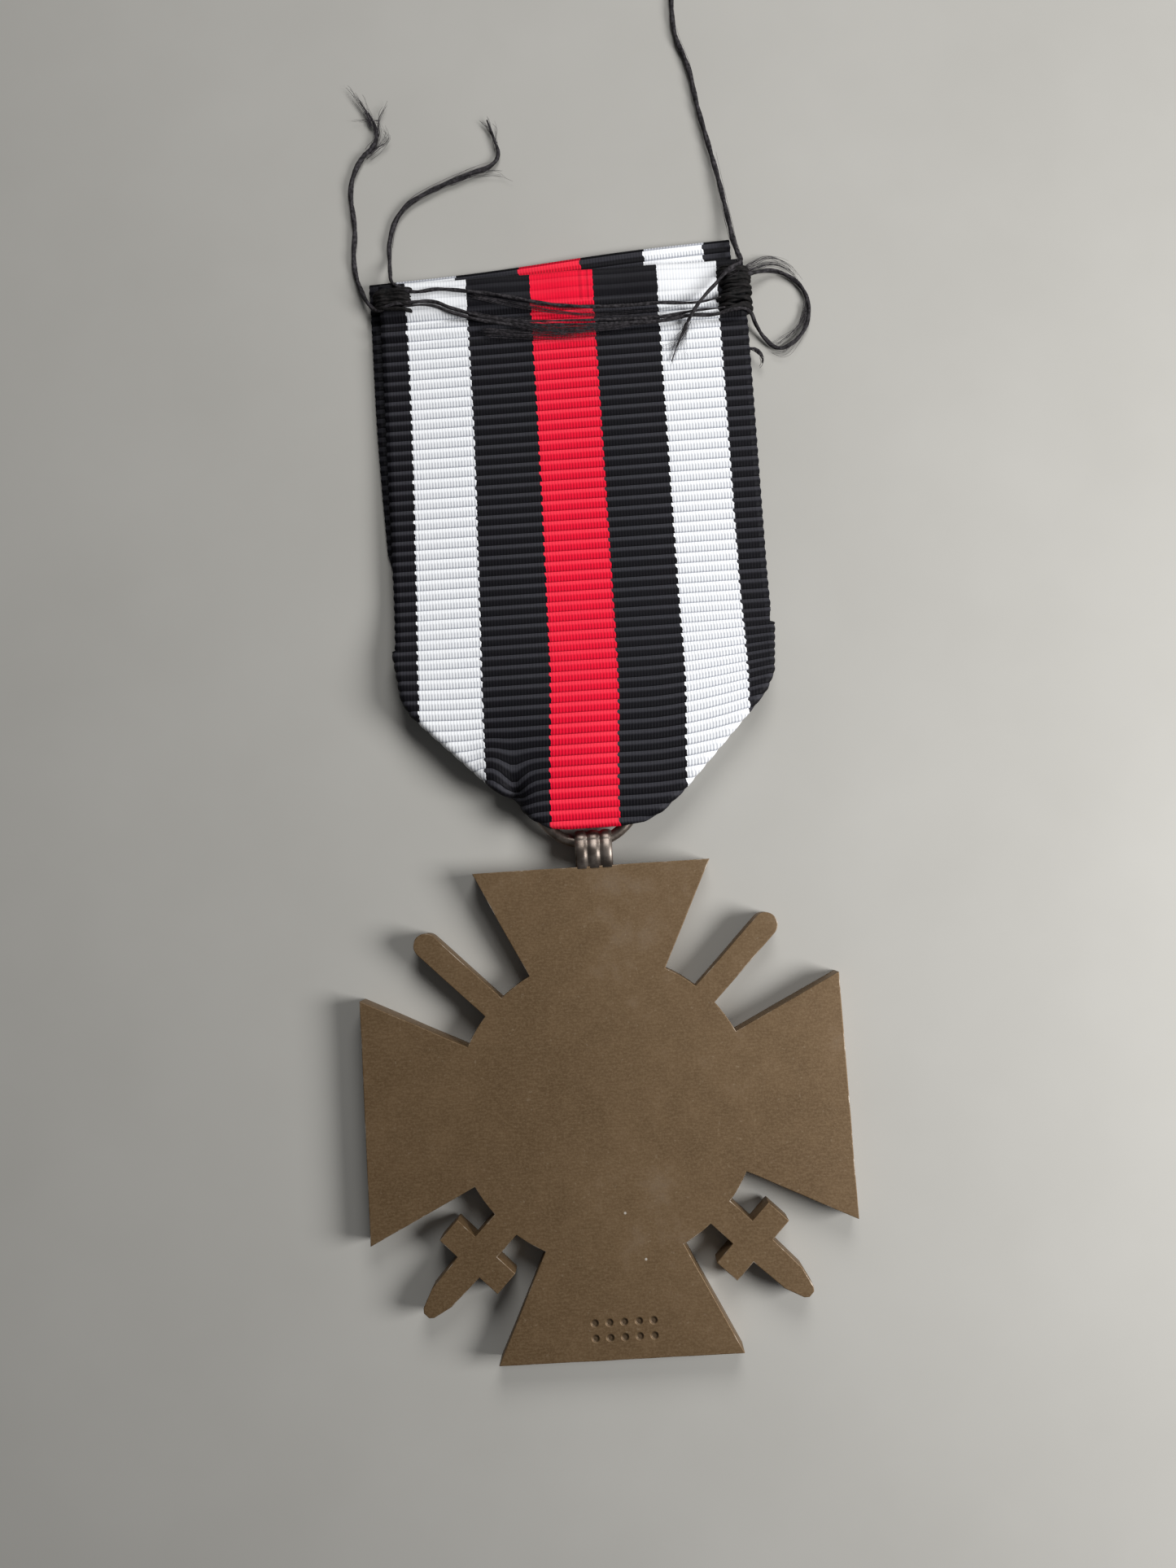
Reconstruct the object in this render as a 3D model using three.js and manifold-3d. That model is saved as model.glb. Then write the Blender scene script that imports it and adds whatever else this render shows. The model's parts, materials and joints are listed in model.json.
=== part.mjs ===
// Military service medal: a bronzed cross with crossed swords, hung by a ribbed eye and a wire ring
// from a folded grosgrain ribbon whose upper ends are sewn together with black thread.
// Units are millimetres. The medal lies on its obverse on the plane z = 0, +Y runs from the cross to
// the top of the ribbon, and +Z points out of the plain reverse.

import * as THREE from "three";
import { mergeVertices } from "three/addons/utils/BufferGeometryUtils.js";
import Module from "manifold-3d";

const wasm = await Module();
wasm.setup();

// ---------------------------------------------------------------- driving dimensions

// Cross and swords, struck in one piece
const CROSS_Y = -26.4; // centre of the cross
const CROSS_HALF = 19; // centre to the end of each arm
const ARM_END_HALF = 9.5; // half-width of an arm at its end
const ARM_TAPER = 0.49; // change of half-width per millimetre of arm
const DISC_R = 11.9; // disc behind the roots of the arms
const PLATE_TOP = 2.3; // height of the reverse face
const SWORD_UNDERSIDE = 0.35; // the swords stand back a little from the rims
const FIELD_DEPTH = 0.5; // sunk fields of the obverse
const RIM_WIDTH = 1.2; // raised rim along the edges of each arm
const WREATH_OUTER_R = 9.4;
const WREATH_INNER_R = 6.4;
const BLADE_WIDTH = 1.95;
const BLADE_REACH = 20.1; // centre of the cross to the tip of a blade
const NECK_HALF = 1.15;
const GUARD_START = 14.1; // distances along the hilt, from the centre of the cross
const GUARD_END = 16.2;
const GUARD_HALF = 3.05;
const GRIP_SHOULDER = 19.3;
const GRIP_END = 21.1;
const GRIP_END_HALF = 0.55;

// Ring and eye
const RING_Y = -1; // centre of the ring
const RING_Z = 1.45;
const RING_R = 4.3; // centre line of the wire
const WIRE_R = 0.45;
const EYE_AXIS_Y = RING_Y - RING_R + 0.13; // the eye turns on the middle of its stretch of wire
const EYE_SLOT_R = 0.68;
const EYE_STRAP_R = 0.9;
const EYE_RIB_R = 1;
const EYE_WIDTH = 3;
const EYE_RIB_WIDTH = 0.74;
const EYE_RIB_PITCH = 1.05;
const EYE_SLOT_LENGTH = 1; // straight part of the slot below the axis
const SOLDER_GAP = 0.3; // filled by the solder, between the eye and the arm
const SOLDER_CLEARANCE = 0.02;

// Ribbon
const RIBBON_HALF = 15.5;
const RIBBON_T = 0.35;
const BACK_X = 0.6; // the two layers don't lie exactly on each other
const FRONT_X = -0.3;
const RIBBON_TOP = 45.4; // highest corner of the front layer
const BACK_TOP = 43.3;
const BEND_Y = 20.6; // line about which the ribbon bends
const BEND_GAP = 1;
const BACK_Z = 0.8; // underside of the back layer along the straight part
const RING_BULGE_Z = 2.55; // underside of the back layer where it passes over the ring
const BULGE_END_Y = 5.5;
const SLOPE_END_Y = 14;
const HEM_Z = 0.4; // turned-in end between the two layers
const HEM_DEPTH = 5.4;
const FOLD_R = 2.9; // the fold lies inside the ring, as a curved web
const FOLD_T = 0.4;
const FOLD_ANGLE = 0.8;

// Sewing thread
const THREAD_R = 0.25;
const THREAD_SIDES = 8;
const THREAD_STEP = 1.3;
const KNOT_Z = 1.2; // underside of the wound thread at the corners
const KNOT_HEIGHT = 0.55;

// ---------------------------------------------------------------- solids

const QUARTER_TURN = Math.PI / 2;

function toSolid(geometry) {
  const bare = geometry.index ? geometry.toNonIndexed() : geometry.clone();
  bare.deleteAttribute("normal");
  bare.deleteAttribute("uv");
  const merged = mergeVertices(bare, 1e-4);
  return new wasm.Manifold(
    new wasm.Mesh({
      numProp: 3,
      vertProperties: new Float32Array(merged.attributes.position.array),
      triVerts: new Uint32Array(merged.index.array),
    })
  );
}

function toGeometry(solid) {
  const mesh = solid.getMesh();
  const geometry = new THREE.BufferGeometry();
  geometry.setAttribute("position", new THREE.BufferAttribute(new Float32Array(mesh.vertProperties), 3));
  geometry.setIndex(new THREE.BufferAttribute(new Uint32Array(mesh.triVerts), 1));
  geometry.computeVertexNormals();
  return geometry;
}

function join(solids) {
  return solids.reduce((sum, solid) => sum.add(solid));
}

function shapeOf(points) {
  return new THREE.Shape(points.map(([x, y]) => new THREE.Vector2(x, y)));
}

// A flat outline in XY, thickened from one height to another
function slab(shape, bottom, top, curveSegments = 12) {
  const geometry = new THREE.ExtrudeGeometry(shape, { depth: top - bottom, bevelEnabled: false, curveSegments });
  return geometry.translate(0, 0, bottom);
}

// An outline drawn with the height across and the medal's length upwards, thickened along X
function sideSlab(shape, centre, width) {
  const geometry = new THREE.ExtrudeGeometry(shape, { depth: width, bevelEnabled: false, curveSegments: 10 });
  return geometry.translate(0, 0, -width / 2).rotateY(-QUARTER_TURN).translate(centre, 0, 0);
}

function finish(color, roughness, metalness) {
  return new THREE.MeshStandardMaterial({ color, roughness, metalness });
}

const bronzed = finish(0x6b5238, 0.5, 0.8);
const gunmetal = finish(0x6e6a66, 0.35, 0.9);
const solderGrey = finish(0x8a8883, 0.45, 0.9);
const blackCloth = finish(0x17171c, 0.9, 0);
const whiteCloth = finish(0xe4e4e6, 0.85, 0);
const redCloth = finish(0xd8202c, 0.85, 0);
const blackThread = finish(0x1b1918, 0.8, 0);

const medal = new THREE.Group();

function addPart(name, geometry, material, parent = medal) {
  const mesh = new THREE.Mesh(geometry, material);
  mesh.name = name;
  parent.add(mesh);
  return mesh;
}

// ---------------------------------------------------------------- cross with crossed swords

const crossGroup = new THREE.Group();
crossGroup.position.y = CROSS_Y;
medal.add(crossGroup);

function armHalfWidth(distance) {
  return ARM_END_HALF - ARM_TAPER * (CROSS_HALF - distance);
}

function armShape(start, end, inset) {
  return shapeOf([
    [-armHalfWidth(start) + inset, start],
    [-armHalfWidth(end) + inset, end],
    [armHalfWidth(end) - inset, end],
    [armHalfWidth(start) - inset, start],
  ]);
}

function discShape(radius) {
  return new THREE.Shape().absarc(0, 0, radius, 0, 2 * Math.PI, false);
}

function bladeShape() {
  const half = BLADE_WIDTH / 2;
  const shape = new THREE.Shape();
  shape.moveTo(-half, DISC_R - 2);
  shape.lineTo(half, DISC_R - 2);
  shape.lineTo(half, BLADE_REACH - half);
  shape.absarc(0, BLADE_REACH - half, half, 0, Math.PI, false);
  return shape;
}

function hiltShape() {
  const right = [
    [NECK_HALF, DISC_R - 2],
    [NECK_HALF, GUARD_START],
    [GUARD_HALF, GUARD_START],
    [GUARD_HALF, GUARD_END],
    [NECK_HALF, GUARD_END],
    [NECK_HALF * 0.9, GRIP_SHOULDER],
    [GRIP_END_HALF, GRIP_END - GRIP_END_HALF / 2],
    [GRIP_END_HALF / 2, GRIP_END],
  ];
  const left = right.map(([x, y]) => [-x, y]).reverse();
  return shapeOf([...right, ...left]);
}

const DIAGONAL = Math.PI / 4;
const crossParts = [toSolid(slab(discShape(DISC_R), 0, PLATE_TOP, 72))];
const armRecesses = [];
for (let arm = 0; arm < 4; arm += 1) {
  const turn = arm * 2 * DIAGONAL;
  crossParts.push(toSolid(slab(armShape(0, CROSS_HALF, 0), 0, PLATE_TOP).rotateZ(turn)));
  const field = slab(armShape(WREATH_OUTER_R, CROSS_HALF - RIM_WIDTH, RIM_WIDTH), -1, FIELD_DEPTH);
  armRecesses.push(toSolid(field.rotateZ(turn)));
}
for (const side of [-1, 1]) {
  const blade = slab(bladeShape(), SWORD_UNDERSIDE, PLATE_TOP).rotateZ(side * DIAGONAL);
  const hilt = slab(hiltShape(), SWORD_UNDERSIDE, PLATE_TOP).rotateZ(side * 3 * DIAGONAL);
  crossParts.push(toSolid(blade), toSolid(hilt));
}
const medallionField = toSolid(slab(discShape(WREATH_INNER_R), -1, FIELD_DEPTH, 48));
const wreathKeep = toSolid(slab(discShape(WREATH_OUTER_R), -1, FIELD_DEPTH, 48));
const recesses = join(armRecesses).subtract(wreathKeep).add(medallionField);
addPart("cross_with_swords", toGeometry(join(crossParts).subtract(recesses)), bronzed, crossGroup);

// ---------------------------------------------------------------- ribbed eye and its solder

// Hairpin of the strap, seen from the side: round over the wire, with two straight legs
function hairpinShape(radius, legEnd) {
  const shape = new THREE.Shape();
  shape.moveTo(radius, legEnd);
  shape.lineTo(radius, 0);
  shape.absarc(0, 0, radius, 0, Math.PI, false);
  shape.lineTo(-radius, legEnd);
  return shape;
}

function slotShape() {
  const shape = new THREE.Shape();
  shape.absarc(0, 0, EYE_SLOT_R, 0, Math.PI, false);
  shape.absarc(0, -EYE_SLOT_LENGTH, EYE_SLOT_R, Math.PI, 2 * Math.PI, false);
  return shape;
}

const armTop = CROSS_Y + CROSS_HALF;
const legEnd = armTop + SOLDER_GAP - EYE_AXIS_Y;
const eyeParts = [toSolid(sideSlab(hairpinShape(EYE_STRAP_R, legEnd), 0, EYE_WIDTH))];
for (const rib of [-1, 0, 1]) {
  eyeParts.push(toSolid(sideSlab(hairpinShape(EYE_RIB_R, legEnd), rib * EYE_RIB_PITCH, EYE_RIB_WIDTH)));
}
const eyeSolid = join(eyeParts).subtract(toSolid(sideSlab(slotShape(), 0, EYE_WIDTH + 1)));
addPart("suspension_eye", toGeometry(eyeSolid).translate(0, EYE_AXIS_Y, RING_Z), gunmetal);

const solder = new THREE.BoxGeometry(EYE_WIDTH + 0.6, SOLDER_GAP - 2 * SOLDER_CLEARANCE, 1.6);
addPart("eye_solder", solder, solderGrey).position.set(0, armTop + SOLDER_GAP / 2, RING_Z - 0.15);

// ---------------------------------------------------------------- suspension ring

const wireSection = [];
const WIRE_SIDES = 12;
for (let i = 0; i <= WIRE_SIDES; i += 1) {
  const angle = (2 * Math.PI * (i % WIRE_SIDES)) / WIRE_SIDES;
  wireSection.push(new THREE.Vector2(RING_R + WIRE_R * Math.cos(angle), WIRE_R * Math.sin(angle)));
}
const ringGeometry = new THREE.LatheGeometry(wireSection, 48).rotateX(QUARTER_TURN);
addPart("suspension_ring", ringGeometry, gunmetal).position.set(0, RING_Y, RING_Z);

// ---------------------------------------------------------------- ribbon

// The ribbon is drawn together from its full width to a narrow fold at the ring
const gatheredEdge = [
  [-13.2, 5.7],
  [-7.9, 0.1],
  [-5.1, -2.3],
  [-2.6, -3.75],
  [2.7, -3.75],
  [5.5, -3.5],
  [7.9, -1.6],
  [13.9, 4.7],
];

function gatheredShape(centre, top) {
  return shapeOf([
    [centre + RIBBON_HALF, top],
    [centre - RIBBON_HALF, top],
    [centre - RIBBON_HALF, 8.6],
    ...gatheredEdge,
    [centre + RIBBON_HALF, 7.4],
  ]);
}

const lowerTop = BEND_Y - BEND_GAP / 2;
const upperStart = BEND_Y + BEND_GAP / 2;

const backProfile = shapeOf([
  [RING_BULGE_Z, -5],
  [RING_BULGE_Z + RIBBON_T, -5],
  [RING_BULGE_Z + RIBBON_T, BULGE_END_Y],
  [BACK_Z + RIBBON_T, SLOPE_END_Y],
  [BACK_Z + RIBBON_T, lowerTop],
  [BACK_Z, lowerTop],
  [BACK_Z, SLOPE_END_Y],
  [RING_BULGE_Z, BULGE_END_Y],
]);
const backSheet = toSolid(sideSlab(backProfile, 0, 4 * RIBBON_HALF));
const backLower = toSolid(slab(gatheredShape(BACK_X, lowerTop), 0, RING_Z + RING_R)).intersect(backSheet);
const frontLower = toSolid(slab(gatheredShape(FRONT_X, lowerTop), 0, RIBBON_T));

// The web of the fold, bent to the inside of the ring
function foldShape() {
  const down = -Math.PI / 2;
  const shape = new THREE.Shape();
  shape.absarc(0, 0, FOLD_R, down - FOLD_ANGLE, down + FOLD_ANGLE, false);
  shape.absarc(0, 0, FOLD_R - FOLD_T, down + FOLD_ANGLE, down - FOLD_ANGLE, true);
  return shape;
}

const foldWeb = toSolid(slab(foldShape(), RIBBON_T / 2, RING_BULGE_Z + RIBBON_T / 2).translate(0, RING_Y, 0));
addPart("ribbon_lower", toGeometry(join([backLower, frontLower, foldWeb])), blackCloth);

const frontUpper = shapeOf([
  [FRONT_X - RIBBON_HALF, upperStart],
  [FRONT_X + RIBBON_HALF, upperStart],
  [FRONT_X + RIBBON_HALF, RIBBON_TOP],
  [FRONT_X - RIBBON_HALF, BACK_TOP + 0.4],
]);
addPart("ribbon_front_upper", slab(frontUpper, 0, RIBBON_T), redCloth);

function stripShape(bottom, top, inset) {
  return shapeOf([
    [BACK_X - RIBBON_HALF + inset, bottom],
    [BACK_X + RIBBON_HALF - inset, bottom],
    [BACK_X + RIBBON_HALF - inset, top],
    [BACK_X - RIBBON_HALF + inset, top],
  ]);
}

addPart("ribbon_back_upper", slab(stripShape(upperStart, BACK_TOP, 0), BACK_Z, BACK_Z + RIBBON_T), blackCloth);
const hemShape = stripShape(BACK_TOP - HEM_DEPTH, BACK_TOP - 0.2, 0.2);
addPart("ribbon_turned_in_end", slab(hemShape, HEM_Z, HEM_Z + RIBBON_T), whiteCloth);

// ---------------------------------------------------------------- sewing thread

// Thread wound over the corners of the ribbon
function knotShape(left, right, bottom, top) {
  const cut = 0.5;
  return shapeOf([
    [left + cut, bottom],
    [right - cut, bottom],
    [right, bottom + cut],
    [right, top - cut],
    [right - cut, top],
    [left + cut, top],
    [left, top - cut],
    [left, bottom + cut],
  ]);
}

addPart("stitch_knot_left", slab(knotShape(-14.8, -12.4, 41, 43.2), KNOT_Z, KNOT_Z + KNOT_HEIGHT), blackThread);
addPart("stitch_knot_right", slab(knotShape(13.9, 16, 38, 42.6), KNOT_Z, KNOT_Z + KNOT_HEIGHT), blackThread);

const threadSection = new THREE.Shape().absarc(0, 0, THREAD_R, 0, 2 * Math.PI, false);

function thread(name, points) {
  const curve = new THREE.CatmullRomCurve3(points.map(([x, y, z]) => new THREE.Vector3(x, y, z)), false, "centripetal");
  const steps = Math.ceil(curve.getLength() / THREAD_STEP);
  const options = { steps, extrudePath: curve, bevelEnabled: false, curveSegments: THREAD_SIDES / 2 };
  addPart(name, new THREE.ExtrudeGeometry(threadSection, options), blackThread);
}

// Long stitches that lie across the back of the ribbon, from one wound corner to the other
thread("thread_stitch_upper", [
  [13.5, 39.9, 1.5],
  [12.2, 39.6, 1.45],
  [8.8, 39.8, 1.45],
  [5.4, 39.8, 1.45],
  [1.3, 40.1, 1.45],
  [-1.7, 40.7, 1.45],
  [-4.1, 41.3, 1.45],
  [-7.1, 42, 1.45],
  [-9.7, 42.4, 1.45],
  [-12, 42.3, 1.5],
]);
thread("thread_stitch_middle", [
  [13.5, 39.2, 1.5],
  [10.5, 39.1, 1.45],
  [6.5, 39.2, 1.45],
  [2.5, 39.2, 1.45],
  [-1.5, 39.5, 1.45],
  [-4.5, 40.2, 1.45],
  [-7.5, 40.9, 1.45],
  [-10, 41.7, 1.45],
  [-12, 41.7, 1.5],
]);
thread("thread_stitch_lower", [
  [13.5, 38.4, 1.5],
  [11.4, 38.5, 1.45],
  [8.8, 38.2, 1.45],
  [5.3, 38.3, 1.45],
  [1.2, 38.5, 1.45],
  [-3, 38.8, 1.45],
  [-5.8, 39.3, 1.45],
  [-8.7, 40.3, 1.45],
  [-10.3, 41, 1.45],
  [-12, 41, 1.5],
]);

// Loose ends, which leave the wound corners and lie on the table
thread("thread_end_left_inner", [
  [-14, 43.6, 1.3],
  [-14.1, 44.4, 1],
  [-14.1, 45.8, 0.4],
  [-13.9, 47.8, 0.3],
  [-13.3, 49.5, 0.3],
  [-12.4, 50.7, 0.3],
  [-10.7, 51.7, 0.3],
  [-8.5, 52.6, 0.3],
  [-6.5, 53.3, 0.3],
  [-4.7, 53.9, 0.3],
  [-4.1, 54.8, 0.3],
  [-4.4, 56.2, 0.3],
  [-4.9, 58, 0.3],
]);
thread("thread_end_left_outer", [
  [-15.1, 42, 1.3],
  [-15.9, 42.1, 1],
  [-16.6, 43, 0.5],
  [-17.1, 44.8, 0.3],
  [-17.1, 46.7, 0.3],
  [-16.9, 48.7, 0.3],
  [-17, 50.6, 0.3],
  [-17.1, 52.4, 0.3],
  [-16.7, 54.1, 0.3],
  [-15.8, 55.6, 0.3],
  [-14.8, 56.6, 0.3],
  [-14.6, 57.9, 0.3],
  [-15.2, 59.5, 0.3],
]);
thread("thread_end_right_long", [
  [15.9, 42.9, 1.5],
  [15.7, 43.8, 1.4],
  [15.5, 45, 1],
  [15.3, 46.7, 0.7],
  [14.7, 50.8, 0.5],
  [14.1, 54, 0.4],
  [13.4, 57.6, 0.35],
  [12.8, 61.5, 0.3],
  [11.9, 64.6, 0.3],
  [11.8, 67.1, 0.3],
  [11.9, 70, 0.3],
  [11.6, 73, 0.3],
]);
thread("thread_strand_right", [
  [13.5, 40.7, 2],
  [12.8, 40, 2.2],
  [11.6, 38.6, 2.1],
  [10.7, 37.2, 1.5],
  [10, 35.8, 1.45],
  [9.5, 34.6, 1.45],
]);
thread("thread_loop_right", [
  [16.3, 38.6, 1.3],
  [16.9, 37.6, 0.7],
  [17.6, 36.5, 0.4],
  [18.7, 35.6, 0.3],
  [19.8, 35.9, 0.3],
  [20.8, 36.8, 0.3],
  [21.4, 38, 0.3],
  [21.5, 39.3, 0.3],
  [21.1, 40.7, 0.3],
  [20.1, 41.8, 0.3],
  [18.7, 42.4, 0.4],
  [17.4, 42.2, 0.8],
  [16.4, 41.8, 1.3],
]);

export default medal;
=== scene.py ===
import json
import math
import random

import bmesh
import bpy
from mathutils import Matrix, Vector, noise


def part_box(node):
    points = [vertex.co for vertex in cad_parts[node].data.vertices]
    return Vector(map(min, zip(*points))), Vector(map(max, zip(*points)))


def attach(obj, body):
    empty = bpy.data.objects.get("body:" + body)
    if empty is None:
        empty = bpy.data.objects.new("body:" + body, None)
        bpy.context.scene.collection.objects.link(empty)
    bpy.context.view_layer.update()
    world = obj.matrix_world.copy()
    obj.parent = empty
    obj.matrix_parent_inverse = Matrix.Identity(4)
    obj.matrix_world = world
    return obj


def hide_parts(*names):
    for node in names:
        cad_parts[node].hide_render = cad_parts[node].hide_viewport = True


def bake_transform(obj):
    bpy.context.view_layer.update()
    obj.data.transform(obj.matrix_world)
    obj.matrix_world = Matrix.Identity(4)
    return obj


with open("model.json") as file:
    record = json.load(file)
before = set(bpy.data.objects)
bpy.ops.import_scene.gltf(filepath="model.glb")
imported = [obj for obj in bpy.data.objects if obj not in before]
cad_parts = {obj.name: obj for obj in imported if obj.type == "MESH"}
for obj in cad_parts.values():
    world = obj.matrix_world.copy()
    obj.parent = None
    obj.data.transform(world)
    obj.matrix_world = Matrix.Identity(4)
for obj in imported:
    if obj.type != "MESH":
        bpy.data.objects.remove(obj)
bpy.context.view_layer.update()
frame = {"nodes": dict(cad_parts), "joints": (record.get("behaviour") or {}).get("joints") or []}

# ---- The table, the light and the camera
# The medal lies face down on a plain pale table, lit softly from its right, and is seen from almost
# straight above.
MM = 0.001


class Tone:
    """A socket of a material, so that sums of masks and patterns can be written as sums."""

    def __init__(self, tree, socket):
        self.tree = tree
        self.socket = socket

    def node(self, kind, settings=None, inputs=None, out=0):
        made = self.tree.nodes.new(kind)
        for name, value in (settings or {}).items():
            if name == "stops":
                set_stops(made.color_ramp, value)
            else:
                setattr(made, name, value)
        for name, value in (inputs or {}).items():
            socket = made.inputs[name]
            if isinstance(value, Tone):
                self.tree.links.new(value.socket, socket)
            else:
                socket.default_value = value
        return Tone(self.tree, made.outputs[out])

    def math(self, operation, *values, clamp=False):
        settings = {"operation": operation, "use_clamp": clamp}
        return self.node("ShaderNodeMath", settings, dict(enumerate(values)))

    def __add__(self, other):
        return self.math("ADD", self, other)

    def __radd__(self, other):
        return self.math("ADD", other, self)

    def __sub__(self, other):
        return self.math("SUBTRACT", self, other)

    def __rsub__(self, other):
        return self.math("SUBTRACT", other, self)

    def __mul__(self, other):
        return self.math("MULTIPLY", self, other)

    def __rmul__(self, other):
        return self.math("MULTIPLY", other, self)

    def __truediv__(self, other):
        return self.math("DIVIDE", self, other)

    def above(self, low, high):
        """0 below low, 1 above high, and smooth between them."""
        settings = {"interpolation_type": "SMOOTHSTEP"}
        inputs = {"Value": self, "From Min": low, "From Max": high}
        return self.node("ShaderNodeMapRange", settings, inputs)

    def mottle(self, scale, detail=3.0, roughness=0.55):
        """A cloudy pattern around 0.5, of so many patches to the metre."""
        inputs = {"Vector": self, "Scale": scale, "Detail": detail, "Roughness": roughness}
        return self.node("ShaderNodeTexNoise", None, inputs)

    def mix(self, first, second, blend="MIX"):
        """The first colour where this mask is 0 and the second, or a blend of both, where it is 1."""
        settings = {"data_type": "RGBA", "blend_type": blend}
        made = self.node("ShaderNodeMix", settings, {"Factor": self})
        mixer = made.socket.node
        for index, value in ((6, first), (7, second)):
            if isinstance(value, Tone):
                self.tree.links.new(value.socket, mixer.inputs[index])
            else:
                mixer.inputs[index].default_value = (*value, 1.0)
        return Tone(self.tree, mixer.outputs[2])


def set_stops(ramp, stops):
    ramp.interpolation = "CONSTANT"
    while len(ramp.elements) < len(stops):
        ramp.elements.new(1.0)
    for element, (place, colour) in zip(ramp.elements, stops):
        element.position = place
        element.color = (*colour, 1.0)


def new_finish(name):
    """A material, its shader and the object's own coordinates."""
    material = bpy.data.materials.new(name)
    material.use_nodes = True
    tree = material.node_tree
    shader = next(n for n in tree.nodes if n.type == "BSDF_PRINCIPLED")
    start = Tone(tree, None)
    place = start.node("ShaderNodeTexCoord", out="Object")
    return material, shader, place


def feed(shader, **values):
    """Numbers are set on the shader's sockets, and patterns are linked to them."""
    for name, value in values.items():
        socket = shader.inputs[name.replace("_", " ")]
        if isinstance(value, Tone):
            value.tree.links.new(value.socket, socket)
        else:
            socket.default_value = value


def relief(shader, height, strength, distance):
    """Fine roughness that is too small to model."""
    inputs = {"Height": height, "Strength": strength, "Distance": distance}
    feed(shader, Normal=height.node("ShaderNodeBump", None, inputs))


def finished_piece(name, bm, material, body, replaced=()):
    """The piece's mesh, smooth where it is round, riding on its body."""
    for face in bm.faces:
        face.smooth = True
    mesh = bpy.data.meshes.new(name)
    bm.to_mesh(mesh)
    bm.free()
    mesh.materials.append(material)
    piece = bpy.data.objects.new(name, mesh)
    bpy.context.scene.collection.objects.link(piece)
    if body:
        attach(piece, body)
    if replaced:
        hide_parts(*replaced)
    return piece


TABLE_SIZE = 1600 * MM
TABLE_GAP = 0.02 * MM

table_finish, table_shader, table_place = new_finish("pale_table")
table_cloud = table_place.mottle(60.0, 4.0)
feed(
    table_shader,
    Base_Color=table_cloud.mix((0.335, 0.325, 0.300), (0.385, 0.375, 0.350)),
    Roughness=0.8,
)
table_mesh = bmesh.new()
bmesh.ops.create_grid(table_mesh, x_segments=1, y_segments=1, size=TABLE_SIZE / 2)
bmesh.ops.translate(table_mesh, verts=table_mesh.verts, vec=(0, 0, -TABLE_GAP))
table = finished_piece("table", table_mesh, table_finish, None)


def soft_light(name, place, size, watts):
    """A round, soft light that faces the middle of the medal."""
    lamp = bpy.data.lights.new(name, "AREA")
    lamp.shape = "DISK"
    lamp.size = size
    lamp.energy = watts
    holder = bpy.data.objects.new(name, lamp)
    holder.location = place
    holder.rotation_euler = (-Vector(place)).to_track_quat("-Z", "Y").to_euler()
    bpy.context.scene.collection.objects.link(holder)


soft_light("window_light", (0.148, -0.032, 0.108), 0.09, 0.45)
soft_light("room_light", (0.04, 0.20, 0.18), 0.14, 0.42)

world = bpy.data.worlds.new("room")
world.use_nodes = True
background = next(n for n in world.node_tree.nodes if n.type == "BACKGROUND")
background.inputs["Color"].default_value = (0.95, 0.97, 1.0, 1.0)
background.inputs["Strength"].default_value = 0.09
bpy.context.scene.world = world
bpy.context.scene.view_settings.view_transform = "Standard"

LENS = 27.03
FILM_HEIGHT = 36.0
EYE_POINT = Vector((2.53, -8.64, 97.27)) * MM
LOOK = Vector((-0.02405, 0.08468, -0.99612)).normalized()
UP = Vector((0.0659, 0.9944, 0.0829)).normalized()

camera_lens = bpy.data.cameras.new("camera")
camera_lens.sensor_fit = "VERTICAL"
camera_lens.sensor_height = FILM_HEIGHT
camera_lens.lens = LENS
camera_lens.clip_start = 1 * MM
camera_lens.clip_end = 10.0
camera = bpy.data.objects.new("camera", camera_lens)
right = LOOK.cross(UP).normalized()
camera.matrix_world = Matrix.Translation(EYE_POINT) @ Matrix(
    (right, right.cross(LOOK), -LOOK)
).transposed().to_4x4()
bpy.context.scene.collection.objects.link(camera)
bpy.context.scene.camera = camera

# ---- The cross with crossed swords
# Struck and bronzed in one piece of iron. The reverse is flat and plain, the obverse is in relief, and
# the cut edges are slightly rounded and worn bright. It hangs by the eye on its upper arm.
cross_low, cross_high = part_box("cross_with_swords")
cross_centre = (cross_low + cross_high) / 2
REVERSE_Z = cross_high.z
RIM_DEPTH = 0.02 * MM

bronzed, bronzed_shader, bronzed_place = new_finish("bronzed_iron")
wear = bronzed_place.node("ShaderNodeAttribute", {"attribute_name": "worn"}, out="Fac")
cloud = bronzed_place.mottle(55.0, 4.0)
patches = bronzed_place.mottle(420.0, 5.0, 0.65)
grain = bronzed_place.mottle(5200.0, 2.0, 0.7)
specks = bronzed_place.mottle(3300.0, 1.0, 0.5)
brush_place = bronzed_place.node(
    "ShaderNodeMapping", None, {"Vector": bronzed_place, "Scale": (0.25, 1.0, 1.0)}
)
brush = brush_place.mottle(7000.0, 2.0, 0.6)
rubbed = (wear * (patches * 1.4)).above(0.70, 0.95)
brown = (cloud * 0.6 + patches * 0.4).above(0.36, 0.66).mix((0.104, 0.061, 0.026), (0.142, 0.087, 0.041))
scuffed = (cloud + patches * 0.7).above(0.93, 1.15).mix(brown, (0.160, 0.108, 0.064))
brushed = (grain * 0.6 + brush * 0.4).above(0.38, 0.68) * 0.5
speckled = brushed.mix(scuffed, (0.215, 0.146, 0.080))
sandy = (specks.above(0.70, 0.80) * 0.22).mix(speckled, (0.34, 0.27, 0.19))

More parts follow.
